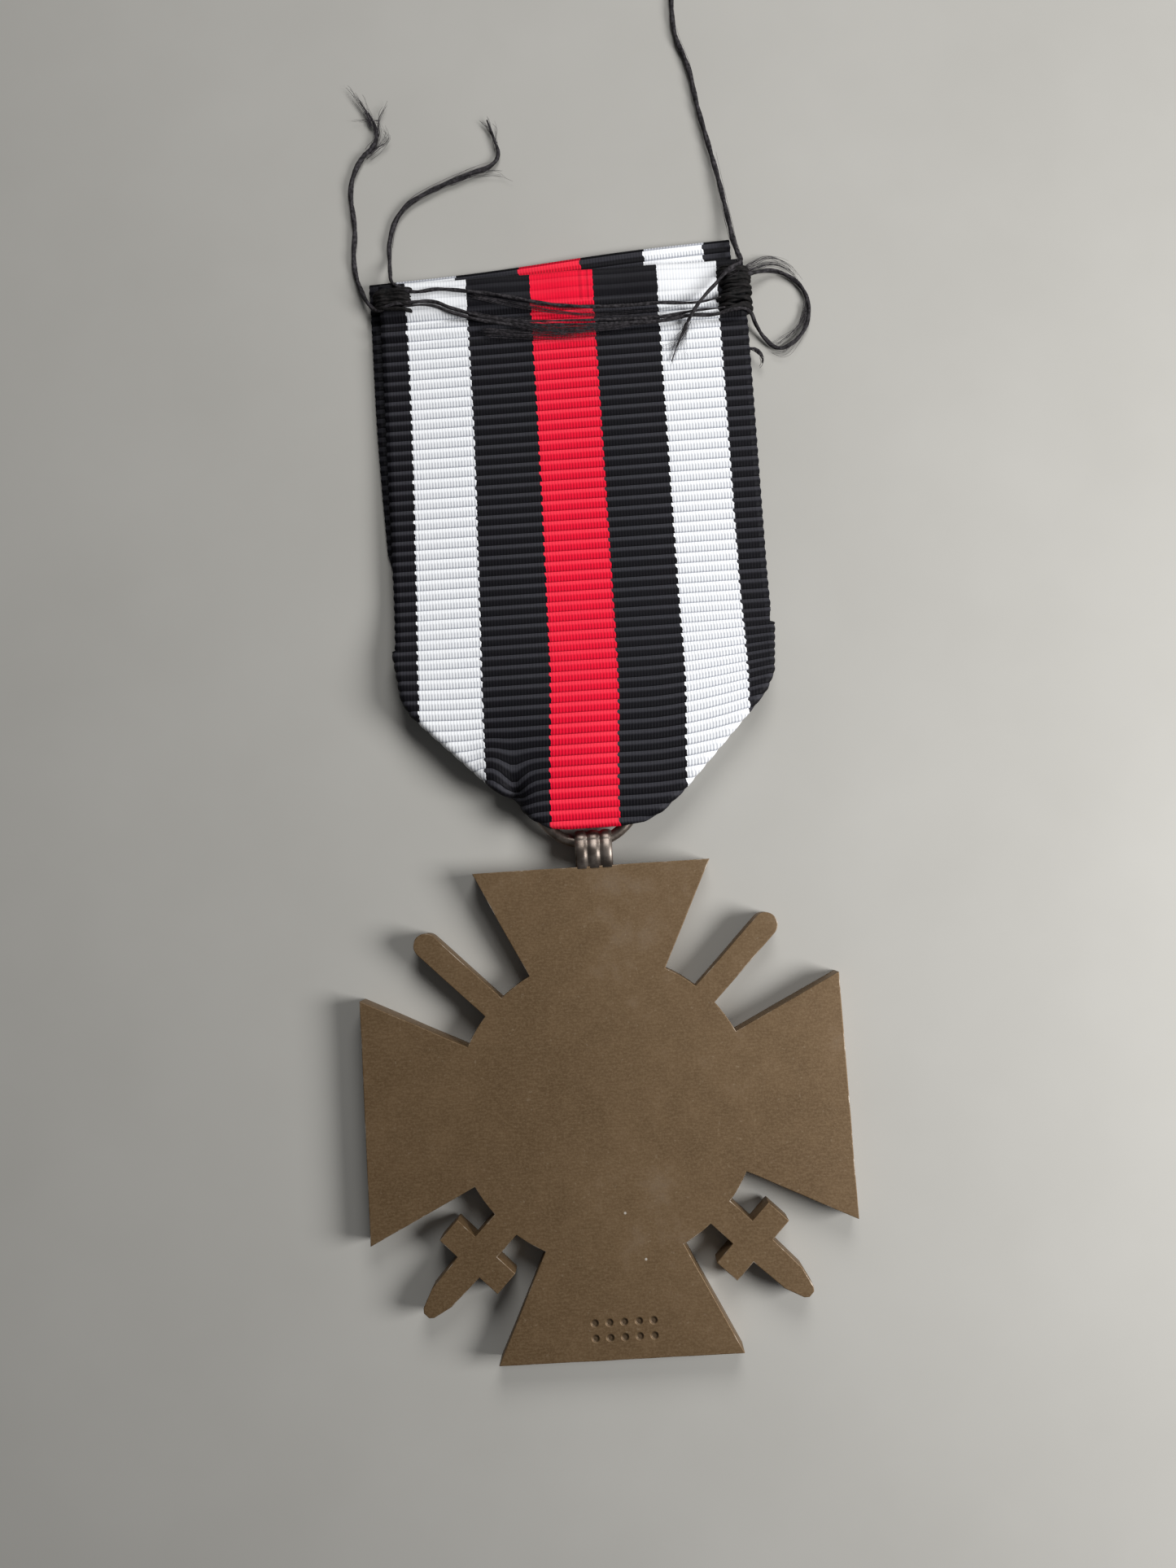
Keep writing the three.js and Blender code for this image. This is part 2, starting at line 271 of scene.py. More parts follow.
# Two rows of five small punched dots on the lower arm
DOT_PITCH = 1.15 * MM
DOT_CORNER = (-2.5 * MM, -44.45 * MM)
DOT_COLUMNS = 5.0
DOT_ROWS = 2.0
places = bronzed_place.node("ShaderNodeSeparateXYZ", None, {"Vector": bronzed_place})
place_y = Tone(places.tree, places.socket.node.outputs["Y"])
place_z = Tone(places.tree, places.socket.node.outputs["Z"])
column = (places - DOT_CORNER[0]) / DOT_PITCH
row = (place_y - DOT_CORNER[1]) / DOT_PITCH
off_x = column.math("FRACT", column) - 0.5
off_y = row.math("FRACT", row) - 0.5
off_centre = off_x.math("SQRT", off_x * off_x + off_y * off_y)
inside = column.math("GREATER_THAN", column, 0.0) * column.math("LESS_THAN", column, DOT_COLUMNS)
inside = inside * row.math("GREATER_THAN", row, 0.0) * row.math("LESS_THAN", row, DOT_ROWS)
on_reverse = place_z.math("GREATER_THAN", place_z, REVERSE_Z - RIM_DEPTH)
inside = inside * on_reverse
dot = inside * (1.0 - off_centre.above(0.12, 0.30))

# Two small nicks in the reverse where the bright iron shows
bare = rubbed
for nick in ((1.0, -34.5), (2.4, -38.1)):
    gap_x = places - nick[0] * MM
    gap_y = place_y - nick[1] * MM
    gap = gap_x.math("SQRT", gap_x * gap_x + gap_y * gap_y)
    bare = bare.math("MAXIMUM", bare, on_reverse * (1.0 - gap.above(0.06 * MM, 0.13 * MM)))
feed(
    bronzed_shader,
    Base_Color=bare.mix((dot * 0.55).mix(sandy, (0.03, 0.02, 0.012)), (0.46, 0.42, 0.37)),
    Metallic=0.45,
    Roughness=0.52 - 0.14 * rubbed + 0.08 * patches,
)
relief(bronzed_shader, grain * 0.05 + patches * 0.05 - dot * 1.0, 0.9, 0.16 * MM)

# The ring in which the wreath lies, and how deep it is sunk
WREATH_IN = 6.4 * MM
WREATH_OUT = 9.4 * MM
WREATH_BED = 0.32 * MM
WELD = 0.003 * MM
EDGE_ROUND = 0.10 * MM
# The outline wanders by about this many millimetres over this length
UNEVEN = 0.025
UNEVEN_PITCH = 2.6 * MM
# The struck outline stands a hair outside the blank's
SEEN_SCALE = 1.01
# The same unevenness every time
noise.seed_set(5)
disc_centre = Vector((0.0, cross_centre.y, 0.0))


def sharp_edges(bm, least_degrees):
    """The edges where two faces meet at more than the given angle."""
    least = math.radians(least_degrees)
    return [e for e in bm.edges if len(e.link_faces) == 2 and e.calc_face_angle(0) > least]


def struck_cross():
    """The blank with its sunk fields, with uneven, rounded edges."""
    bm = bmesh.new()
    bm.from_mesh(frame["nodes"]["cross_with_swords"].data)
    worn = bm.verts.layers.float.new("worn")
    bmesh.ops.remove_doubles(bm, verts=bm.verts, dist=WELD)
    bmesh.ops.dissolve_limit(bm, angle_limit=math.radians(1.0), verts=bm.verts, edges=bm.edges)
    for vert in bm.verts:
        out = (vert.co - disc_centre).xy.length
        if vert.co.z < 0.01 * MM and WREATH_IN - 0.1 * MM < out < WREATH_OUT + 0.1 * MM:
            vert.co.z = WREATH_BED
    # Cuts along the long edges let the outline wander
    long_edges = [e for e in bm.edges if e.calc_length() > 3 * MM]
    bmesh.ops.subdivide_edges(bm, edges=long_edges, cuts=9)
    for vert in bm.verts:
        shift = noise.noise_vector(vert.co / UNEVEN_PITCH) * UNEVEN * MM
        vert.co.x += shift.x
        vert.co.y += shift.y
    bmesh.ops.bevel(
        bm, geom=sharp_edges(bm, 25), offset=EDGE_ROUND, offset_type="OFFSET", segments=3,
        profile=0.5, affect="EDGES", material=-1, clamp_overlap=True,
    )
    # The wear stays on the rims: the flats start right inside them
    broad = [f for f in bm.faces if f.calc_area() > 60 * MM * MM and abs(f.normal.z) > 0.99]
    for vert in bm.verts:
        rim = vert.co.z > REVERSE_Z - RIM_DEPTH or vert.co.z < RIM_DEPTH
        vert[worn] = 1.0 if rim else 0.0
    bmesh.ops.inset_region(bm, faces=broad, thickness=0.05 * MM, use_even_offset=True)
    for face in broad:
        for vert in face.verts:
            vert[worn] = 0.0
    bmesh.ops.translate(bm, verts=bm.verts, vec=-disc_centre)
    bmesh.ops.scale(bm, verts=bm.verts, vec=(SEEN_SCALE, SEEN_SCALE, 1.0))
    bmesh.ops.translate(bm, verts=bm.verts, vec=disc_centre)
    return bm


finished_piece(
    "struck_cross", struck_cross(), bronzed, "cross", ["cross_with_swords"]
)

# ---- The relief of the obverse
# Struck with the cross: a wreath of leaves round an empty field, the ridges of the blades and the
# wire windings of the grips. The design is plain and carries no lettering.
SWORD_FACE = 0.35 * MM
BEAD_STEP = 0.62
LEAF_PAIRS = 15
# Distance from the middle of the disc in millimetres, and lean, of the inner and the outer leaves
LEAF_ROWS = ((7.15, 0.45), (8.55, -0.45))
BOW = Vector((0, -7.9, 0)) * MM


def bead(bm, centre, size, heading, segments=10):
    """A flattened ball, long in the direction of heading."""
    made = bmesh.ops.create_uvsphere(bm, u_segments=segments, v_segments=6, radius=1.0)["verts"]
    bmesh.ops.scale(bm, verts=made, vec=size)
    bmesh.ops.rotate(bm, verts=made, cent=(0, 0, 0), matrix=Matrix.Rotation(heading, 3, "Z"))
    bmesh.ops.translate(bm, verts=made, vec=centre)


def leaf_wreath():
    """Two rows of leaves with a midrib each, up both sides from a bow."""
    bm = bmesh.new()
    for side in (1, -1):
        for i in range(LEAF_PAIRS):
            angle = -math.pi / 2 + side * math.pi * (i + 0.75) / LEAF_PAIRS
            for radius, lean in LEAF_ROWS:
                place = disc_centre + Vector((math.cos(angle), math.sin(angle), 0)) * radius * MM
                place.z = 0.20 * MM
                heading = angle + side * (math.pi / 2 + lean)
                bead(bm, place, (0.98 * MM, 0.42 * MM, 0.17 * MM), heading)
                place.z = 0.12 * MM
                bead(bm, place, (0.92 * MM, 0.07 * MM, 0.10 * MM), heading, 6)
    for lean in (-0.5, 0.5):
        place = disc_centre + BOW
        place.z = 0.18 * MM
        bead(bm, place, (1.9 * MM, 0.28 * MM, 0.16 * MM), math.pi / 2 + lean)
    place = disc_centre + BOW
    place.z = 0.16 * MM
    bead(bm, place, (0.5 * MM, 0.5 * MM, 0.14 * MM), 0.0)
    return bm


def sword_relief():
    """The ridge of each blade, the winding of each grip and three knobs on each crossguard."""
    bm = bmesh.new()
    for side in (1, -1):
        for i in range(12):
            along = 12.5 + BEAD_STEP * i
            angle = math.pi / 2 - side * math.pi / 4
            place = disc_centre + Vector((math.cos(angle), math.sin(angle), 0)) * along * MM
            place.z = SWORD_FACE
            bead(bm, place, (0.55 * MM, 0.30 * MM, 0.14 * MM), angle, 8)
        angle = -math.pi / 2 + side * math.pi / 4
        out = Vector((math.cos(angle), math.sin(angle), 0))
        for i in range(5):
            place = disc_centre + out * (16.9 + BEAD_STEP * i) * MM
            place.z = SWORD_FACE
            half = 0.95 - 0.1 * i
            bead(bm, place, (0.22 * MM, half * MM, 0.20 * MM), angle, 8)
        for across in (-2.3, 0.0, 2.3):
            place = disc_centre + out * 15.15 * MM + Vector((-out.y, out.x, 0)) * across * MM
            place.z = SWORD_FACE
            bead(bm, place, (0.62 * MM, 0.62 * MM, 0.22 * MM), angle)
    return bm


finished_piece("leaf_wreath", leaf_wreath(), bronzed, "cross")
finished_piece("sword_relief", sword_relief(), bronzed, "cross")

# ---- The suspension eye
# A strip with three rolled ribs, bent like a hairpin over the wire of the ring. Its two legs end on
# the upper arm.
eye_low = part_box("suspension_eye")[0]
ring_low, ring_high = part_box("suspension_ring")
ring_centre = (ring_low + ring_high) / 2
WIRE_R = (ring_high.z - ring_low.z) / 2
RING_R = (ring_high.x - ring_low.x) / 2 - WIRE_R
tilt_joint = next(j for j in frame["joints"] if j["name"] == "cross_tilt")
eye_axis = Vector(tilt_joint["pos_m"])
EYE_SHIFT = 0.35 * MM
LEG_OVERLAP = 0.27 * MM

gunmetal, gunmetal_shader, gunmetal_place = new_finish("gunmetal")
tarnish = gunmetal_place.mottle(900.0, 4.0, 0.6)
scratch = gunmetal_place.mottle(7000.0, 2.0, 0.6)
feed(
    gunmetal_shader,
    Base_Color=tarnish.above(0.35, 0.65).mix((0.13, 0.105, 0.088), (0.26, 0.22, 0.19)),
    Metallic=0.9,
    Roughness=0.30 + 0.22 * tarnish,
)
relief(gunmetal_shader, scratch, 0.15, 0.02 * MM)


def ribbed_strip():
    """The strip's section, drawn out to a leg, spun round the wire and drawn out to the other leg."""
    # Inner side of the strip and bottom of its grooves, measured from the middle of the wire
    inside = 0.62 * MM
    groove = 0.79 * MM
    half_width = 1.5 * MM
    rib_height = 0.14 * MM
    rib_pitch = 1.02 * MM
    rib_half = 0.47 * MM
    outline = [(-half_width, inside), (half_width, inside)]
    steps = 6
    for rib in (1, 0, -1):
        for i in range(steps + 1):
            across = 1 - 2 * i / steps
            height = rib_height * math.sqrt(max(0.0, 1 - across * across))
            outline.append((rib * rib_pitch + across * rib_half, groove + height))
    bm = bmesh.new()
    leg_end = eye_low.y - LEG_OVERLAP - eye_axis.y
    section = bm.faces.new([bm.verts.new((x, leg_end, t)) for x, t in outline])
    leg = bmesh.ops.extrude_face_region(bm, geom=[section])["geom"]
    verts = [g for g in leg if isinstance(g, bmesh.types.BMVert)]
    bmesh.ops.translate(bm, verts=verts, vec=(0, -leg_end, 0))
    turned = bmesh.ops.spin(
        bm, geom=[g for g in leg if isinstance(g, bmesh.types.BMFace)], cent=(0, 0, 0), axis=(1, 0, 0),
        dvec=(0, 0, 0), angle=-math.pi, steps=20, use_duplicate=False,
    )["geom_last"]
    leg = bmesh.ops.extrude_face_region(bm, geom=[g for g in turned if isinstance(g, bmesh.types.BMFace)])
    verts = [g for g in leg["geom"] if isinstance(g, bmesh.types.BMVert)]
    bmesh.ops.translate(bm, verts=verts, vec=(0, leg_end, 0))
    bmesh.ops.remove_doubles(bm, verts=bm.verts, dist=0.001 * MM)
    bmesh.ops.recalc_face_normals(bm, faces=bm.faces)
    bmesh.ops.translate(bm, verts=bm.verts, vec=eye_axis + Vector((EYE_SHIFT, 0, 0)))
    return bm


finished_piece("ribbed_eye", ribbed_strip(), gunmetal, "cross", ["suspension_eye"])

# ---- The solder under the eye
# A small lumpy run of soft solder. It fills the end of the hairpin, wets the edge of the upper arm and
# holds the two together.
solder_low, solder_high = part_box("eye_solder")
solder_centre = (solder_low + solder_high) / 2

solder_finish, solder_shader, solder_place = new_finish("dull_solder")
lumps = solder_place.mottle(1500.0, 3.0)
feed(
    solder_shader,
    Base_Color=lumps.mix((0.20, 0.18, 0.15), (0.34, 0.32, 0.28)),
    Metallic=0.85,
    Roughness=0.35 + 0.2 * lumps,
)
relief(solder_shader, lumps, 0.4, 0.04 * MM)


def solder_run():
    """A block that narrows to its ends, bulges towards the eye and is uneven all over."""
    bm = bmesh.new()
    bmesh.ops.create_cube(bm, size=1.0)
    bmesh.ops.scale(bm, verts=bm.verts, vec=(2.7 * MM, 0.5 * MM, 1.3 * MM))
    bmesh.ops.subdivide_edges(bm, edges=bm.edges, cuts=5, use_grid_fill=True)
    for vert in bm.verts:
        along = 1 - abs(vert.co.x) / (1.4 * MM)
        vert.co.z *= 0.72 + 0.28 * along
        if vert.co.y > 0:
            vert.co.y += 0.4 * MM * max(0.0, 1 - abs(vert.co.z) / (0.6 * MM))
        vert.co += noise.noise_vector(vert.co / (0.6 * MM)) * 0.05 * MM
    bmesh.ops.smooth_vert(bm, verts=bm.verts, factor=0.5, use_axis_x=True, use_axis_y=True, use_axis_z=True)
    bmesh.ops.translate(bm, verts=bm.verts, vec=solder_centre + Vector((EYE_SHIFT, 0.02 * MM, 0)))
    return bm


finished_piece("solder_run", solder_run(), solder_finish, "cross", ["eye_solder"])

# ---- The suspension ring
# Round iron wire, bent to a closed ring. It runs through the eye and through the fold of the ribbon and
# is free to slide in both.


def wire_ring():
    bm = bmesh.new()
    bmesh.ops.create_circle(bm, segments=20, radius=WIRE_R)
    bmesh.ops.rotate(bm, verts=bm.verts, cent=(0, 0, 0), matrix=Matrix.Rotation(math.pi / 2, 3, "X"))
    bmesh.ops.translate(bm, verts=bm.verts, vec=(RING_R, 0, 0))
    bmesh.ops.spin(
        bm, geom=bm.verts[:] + bm.edges[:], cent=(0, 0, 0), axis=(0, 0, 1), dvec=(0, 0, 0),
        angle=2 * math.pi, steps=120, use_merge=True, use_duplicate=False,
    )
    bmesh.ops.remove_doubles(bm, verts=bm.verts, dist=0.001 * MM)
    bmesh.ops.recalc_face_normals(bm, faces=bm.faces)
    bmesh.ops.translate(bm, verts=bm.verts, vec=ring_centre)
    return bm


finished_piece("wire_ring", wire_ring(), gunmetal, "ring", ["suspension_ring"])

# ---- The ribbon
# One length of grosgrain, black, white and red, folded through the ring. Its corners are folded in to
# a point at the ring, its upper end at the back is turned in, and sewing holds the two layers together.
back_low, back_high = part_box("ribbon_back_upper")
front_low, front_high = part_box("ribbon_front_upper")
lower_low, lower_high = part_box("ribbon_lower")
RIBBON_HALF = (back_high.x - back_low.x) / 2
RIBBON_WIDTH_MM = 31.0
RIB_PITCH = 0.87 * MM
CLOTH_THICKNESS = 0.26 * MM
RIB_HEIGHT = 0.12 * MM
ROLL_R = 0.30 * MM
ROWS_PER_RIB = 8
WARP_PER_MM = 4.0
COLUMNS = 62

BLACK = (0.0038, 0.0034, 0.0054)
WHITE = (0.79, 0.80, 0.815)
RED = (0.80, 0.0030, 0.030)

cloth, cloth_shader, cloth_place = new_finish("striped_grosgrain")
across = cloth_place.node("ShaderNodeAttribute", {"attribute_name": "across"}, out="Fac")
along = cloth_place.node("ShaderNodeAttribute", {"attribute_name": "along"}, out="Fac")
ribbed = cloth_place.node("ShaderNodeAttribute", {"attribute_name": "ribbed"}, out="Fac")
rib_place = along.math("FRACT", along)
# Each rib gets a painted highlight on its upper side, shows its single warp yarns below, and ends in a
# groove darkened with painted shade
upper_side_painted_highlight = rib_place.above(0.48, 0.74) * ribbed
groove = (1.0 - rib_place.above(0.03, 0.26)) * ribbed
yarn = cloth_place.mottle(2600.0, 3.0)
warp = (across.math("SINE", across * WARP_PER_MM * 2 * math.pi) * 0.5 + 0.5).above(0.2, 0.8)
warp_dots = warp * (1.0 - upper_side_painted_highlight) * (0.55 + 0.6 * yarn)
stripe_place = (across + (upper_side_painted_highlight - 0.5) * 0.14 + (yarn - 0.5) * 0.22) / RIBBON_WIDTH_MM
stripes = stripe_place.node(
    "ShaderNodeValToRGB",
    {
        "stops": [
            (0.0, BLACK), (0.070, WHITE), (0.237, BLACK), (0.414, RED),
            (0.583, BLACK), (0.760, WHITE), (0.924, BLACK),
        ]
    },
    {"Fac": stripe_place},
)
# Painted highlight: a pale grey added to the stripes on the upper side of each rib
stripes_with_painted_highlight = (upper_side_painted_highlight * (0.7 + 0.6 * yarn)).mix(stripes, (0.024, 0.024, 0.028), "ADD")
# Painted shade in the grooves, together with the warp yarn dots
painted_shade_and_warp_dots = groove * 0.85 + warp_dots * (0.05 + 0.75 * ribbed)
# Painted shade: two dark lines for creases in the turned-in end beside the red stripe's right edge
for crease in (17.15, 17.75):
    gap = (across - crease).math("ABSOLUTE", across - crease)
    crease_painted_shade = gap.math("MAXIMUM", 0.7 - 0.9 * ribbed, 0.0)
    painted_shade_and_warp_dots = painted_shade_and_warp_dots + (1.0 - gap.above(0.04, 0.17)) * crease_painted_shade
painted_shade_and_warp_dots = painted_shade_and_warp_dots.math("MINIMUM", painted_shade_and_warp_dots, 1.0)
# The base colour is the stripes with their painted highlight, multiplied towards grey by the painted shade
# and the warp dots
feed(
    cloth_shader,
    Base_Color=painted_shade_and_warp_dots.mix(stripes_with_painted_highlight, (0.40, 0.41, 0.45), "MULTIPLY"),
    Roughness=0.62 + 0.25 * groove,
    Specular_IOR_Level=0.12,
)
relief(cloth_shader, warp * (0.1 + 0.5 * ribbed) + yarn * 0.6, 0.4, 0.05 * MM)


def smooth_step(low, high, value):
    """0 below low, 1 above high, and smooth between them."""
    t = min(1.0, max(0.0, (value - low) / (high - low)))
    return t * t * (3 - 2 * t)


def hump(x, y, centre, radius_x, radius_y):
    """1 at a centre given in millimetres, and falling smoothly to 0 round it."""
    gap = math.hypot((x / MM - centre[0]) / radius_x, (y / MM - centre[1]) / radius_y)
    return math.exp(-gap * gap)


TOP_OF_BACK = back_high.y - 0.40 * MM
BOTTOM = lower_low.y - 0.3 * MM
# Heights of the back layer on the front one and over the ring, and of the front layer
BACK_FLAT_Z = (back_low.z + back_high.z) / 2
BACK_RING_Z = lower_high.z - 0.16 * MM
FRONT_Z = front_low.z + 0.20 * MM
# The pad is the stretch at the top that the turned-in end makes thicker
PAD_DEPTH = 2.5 * MM


def back_height(x, y):
    """Middle of the back layer: high over the ring, then falling to lie on the front layer."""
    over_ring = 1 - smooth_step(4 * MM, 17 * MM, y)
    height = BACK_FLAT_Z + (BACK_RING_Z - BACK_FLAT_Z) * over_ring
    # The bulge over the ring, the pucker at the fold with its lip, and slow waves
    height += 0.30 * MM * hump(x, y, (-0.5, 0.8), 6.5, 5.0)
    height -= 0.95 * MM * hump(x, y, (-5.8, -1.3), 0.8, 1.5)
    height += 0.34 * MM * hump(x, y, (-7.4, 0.9), 1.1, 1.8)
    height += 0.10 * MM * math.sin(y / (5.3 * MM) + 1.3 * math.sin(x / (9 * MM)))
    # The stitches press small gathers into the cloth
    sewn = hump(0, y, (0, 39.3), 1.0, 1.9)
    wave = 2 * math.pi * (y / MM + 0.02 * x / MM + 0.25 * math.sin(x / (3.1 * MM))) / 1.75
    height += sewn * 0.15 * MM * math.sin(wave)
    height -= 0.10 * MM * sewn
    # The turned-in end lifts the top
    pad = smooth_step(TOP_OF_BACK - PAD_DEPTH, TOP_OF_BACK - PAD_DEPTH + 0.9 * MM, y)
    height += pad * (0.26 + 0.06 * math.sin(x / (1.1 * MM)) + 0.05 * math.sin(x / (3.3 * MM))) * MM
    return height


def front_height(x, y):
    """Middle of the front layer: flat on the table, with a little life near its free end."""
    lift = smooth_step(40 * MM, front_high.y, y)
    return FRONT_Z + lift * 0.20 * MM * (1 + math.sin(x / (4.1 * MM)))


def ribs_along(x, y):
    """Number of ribs up to a place: they fan out to the folded corners and bend at the pucker."""
    lower = 1 - smooth_step(4 * MM, 14 * MM, y)
    fan = 0.015 * max(0.0, x / MM - 4.5) ** 2 * lower
    fan += 0.006 * max(0.0, -x / MM - 8.0) ** 2 * lower
    pull = 1.0 * hump(x, y, (-5.7, -0.6), 1.2, 2.2) - 0.35 * hump(x, y, (-7.6, 1.2), 1.2, 2.4)
    return (y / MM - fan + pull) * MM / RIB_PITCH


def stripe_drift(place):
    """How far the woven stripes are pulled to the left by the fold, in millimetres."""
    x = place.x / MM
    y = place.y / MM
    left_side = (1 - smooth_step(10, 34, y)) * (1 - smooth_step(-10, 5, x))
    low_middle = (1 - smooth_step(-4, 10, y)) * smooth_step(-9, -3, x)
    return 0.40 * left_side + 0.62 * low_middle


# Outline of the folded corners: points that the fold passes, from left to right
LEFT_FOLD = [
    (-15.0, 9.6), (-14.6, 7.2), (-13.9, 5.95), (-11.6, 3.6), (-7.9, -0.1), (-5.4, -2.4), (-4.1, -3.4),
    (-3.0, -3.95), (-1.6, -4.12),
]
RIGHT_FOLD = [
    (2.6, -4.12), (4.6, -3.88), (6.0, -3.25), (7.9, -1.65), (10.0, 0.55), (14.2, 4.95), (15.2, 6.1),
    (15.95, 7.6), (16.2, 9.9),
]


def cut_along(bm, points, inset):
    """Cuts the sheet off outside a chain of points that turns left, so far inside it."""
    for (x0, y0), (x1, y1) in zip(points, points[1:]):
        out = Vector((y1 - y0, x0 - x1, 0)).normalized()
        bmesh.ops.bisect_plane(
            bm, geom=bm.verts[:] + bm.edges[:] + bm.faces[:], dist=0.001 * MM,
            plane_co=Vector((x0, y0, 0)) * MM - out * inset, plane_no=out, clear_outer=True,
        )


def ribbon_layer(centre_x, top, height_at, roll_sign, turned_in, lean, hidden):
    """One layer, flat at first, then cut, rolled in at its folded corners, ribbed and put in place.

    roll_sign is 1 for the back layer and -1 for the front one. turned_in is the length of the end that is
    folded under, lean slants the free end, and hidden keeps a layer inside the outline of the fold.
    """
    bm = bmesh.new()
    across_layer = bm.verts.layers.float.new("across")
    along_layer = bm.verts.layers.float.new("along")
    ribbed_layer = bm.verts.layers.float.new("ribbed")
    length = top - BOTTOM + turned_in
    rows = round(length / RIB_PITCH * ROWS_PER_RIB)
    bmesh.ops.create_grid(bm, x_segments=COLUMNS, y_segments=rows, size=0.5)
    bmesh.ops.scale(bm, verts=bm.verts, vec=(2 * RIBBON_HALF, length, 1))
    bmesh.ops.translate(bm, verts=bm.verts, vec=(centre_x, BOTTOM + length / 2, 0))
    cut_along(bm, LEFT_FOLD + RIGHT_FOLD, ROLL_R + CLOTH_THICKNESS / 2 + hidden)

    # Direction in which each vertex of the cut edge rolls in
    rolls = {}
    chain = []
    for edge in bm.edges:
        selvedge = all(abs(abs(v.co.x - centre_x) - RIBBON_HALF) < 0.01 * MM for v in edge.verts)
        low = all(v.co.y < 12 * MM for v in edge.verts)
        if len(edge.link_faces) == 1 and low and not selvedge:
            chain.append(edge)
            line = (edge.verts[1].co - edge.verts[0].co).normalized()
            out = Vector((line.y, -line.x, 0))
            if out.dot(edge.verts[0].co - edge.link_faces[0].calc_center_median()) < 0:
                out.negate()
            for vert in edge.verts:
                rolls[vert] = rolls.get(vert, Vector()) + out * edge.calc_length()
    base = {v: (v.co.copy(), Vector((0, 0, 0)), 0.0) for v in bm.verts}
    for vert, out in rolls.items():
        base[vert] = (vert.co.copy(), out.normalized(), 0.0)

    half_turn = math.pi * ROLL_R
    roll_steps = 7
    tuck_steps = 2
    for step in range(1, roll_steps + tuck_steps + 1):
        old = {v for e in chain for v in e.verts}
        by_place = {tuple(round(c / (0.0005 * MM)) for c in v.co): v for v in old}
        new = bmesh.ops.extrude_edge_only(bm, edges=chain)["geom"]
        chain = [g for g in new if isinstance(g, bmesh.types.BMEdge) and not any(v in old for v in g.verts)]
        fresh = [g for g in new if isinstance(g, bmesh.types.BMVert)]
        run = half_turn * min(step, roll_steps) / roll_steps + max(0, step - roll_steps) * 0.9 * MM
        for vert in fresh:
            start, out, _ = base[by_place[tuple(round(c / (0.0005 * MM)) for c in vert.co)]]
            base[vert] = (start, out, run)
            # The new row waits outside the last one, so that the next row can be told from it
            vert.co = start + out * run

    for vert, (start, out, run) in base.items():
        flat = start + out * run
        centre_gap = flat.x - centre_x
        ribs = ribs_along(flat.x, flat.y) if roll_sign > 0 else flat.y / RIB_PITCH
        # In-plane place and turn, first for the folded corners, then for the turned-in end
        way = out
        place = start.copy()
        if run == 0 and start.y > top:
            way = Vector((0, 1, 0))
            run = start.y - top
            place.y = top
        angle = min(run, half_turn) / ROLL_R
        tucked = max(0.0, run - half_turn)
        sink = ROLL_R * (1 - math.cos(angle))
        place += way * (ROLL_R * math.sin(angle) - tucked)
        normal = way * math.sin(angle) + Vector((0, 0, roll_sign * math.cos(angle)))
        pad = smooth_step(top - PAD_DEPTH, top - PAD_DEPTH + 0.5 * MM, start.y) if roll_sign > 0 else 0.0
        drift = stripe_drift(flat) if roll_sign > 0 else 0
        vert[across_layer] = centre_gap / MM + RIBBON_WIDTH_MM / 2 + drift
        vert[along_layer] = ribs
        vert[ribbed_layer] = 1 - 0.7 * pad
        round_rib = abs(math.sin(math.pi * ribs)) ** 0.7 - 0.5
        if RIBBON_HALF - abs(centre_gap) < 0.02 * MM and angle == 0:
            place.x += math.copysign(0.17 * MM * round_rib * (1 - pad), centre_gap)
        leaned = (place.x - centre_x) * lean * smooth_step(25 * MM, 45 * MM, place.y)
        fold_share = 1 - smooth_step(8 * MM, 34 * MM, place.y)
        slid = 1.5 * hidden * max(0.0, -centre_gap / RIBBON_HALF) * fold_share
        height = height_at(place.x, place.y) - roll_sign * sink
        # The turned-in end stays above the front layer
        if roll_sign > 0 and place.y > 30 * MM:
            height = max(height, front_height(place.x, place.y) + 1.2 * CLOTH_THICKNESS)
        vert.co = Vector((place.x + slid, place.y + leaned, height))
        # The pucker also pulls the cloth aside
        if roll_sign > 0:
            vert.co += Vector((0.22, 0.40, 0)) * MM * hump(place.x, place.y, (-5.9, -1.8), 0.85, 0.85)
        vert.co += normal * (round_rib * RIB_HEIGHT * (1 - 0.7 * pad))
    bmesh.ops.recalc_face_normals(bm, faces=bm.faces)
    return bm


def fold_web():
    """The cloth inside the ring, which joins the two layers below the ring's upper half."""
    bm = bmesh.new()
    across_layer = bm.verts.layers.float.new("across")
    along_layer = bm.verts.layers.float.new("along")
    ribbed_layer = bm.verts.layers.float.new("ribbed")
    web_r = 2.75 * MM
    half_angle = 0.85
    low = FRONT_Z + 0.12 * MM
    high = BACK_RING_Z - 0.12 * MM
    bmesh.ops.create_grid(bm, x_segments=24, y_segments=30, size=0.5)
    for vert in bm.verts:
        angle = 2 * half_angle * vert.co.x
        t = vert.co.y + 0.5
        bulge = web_r + 0.12 * MM * math.sin(math.pi * t) + 0.05 * MM * math.sin(9 * angle)
        out = Vector((math.sin(angle), -math.cos(angle), 0))
        vert.co = Vector((0, ring_centre.y, low + (high - low) * t)) + out * bulge
        vert[across_layer] = vert.co.x / MM + RIBBON_WIDTH_MM / 2 - 0.5
        vert[along_layer] = t * 3.0
        vert[ribbed_layer] = 1.0
    bmesh.ops.recalc_face_normals(bm, faces=bm.faces)
    return bm


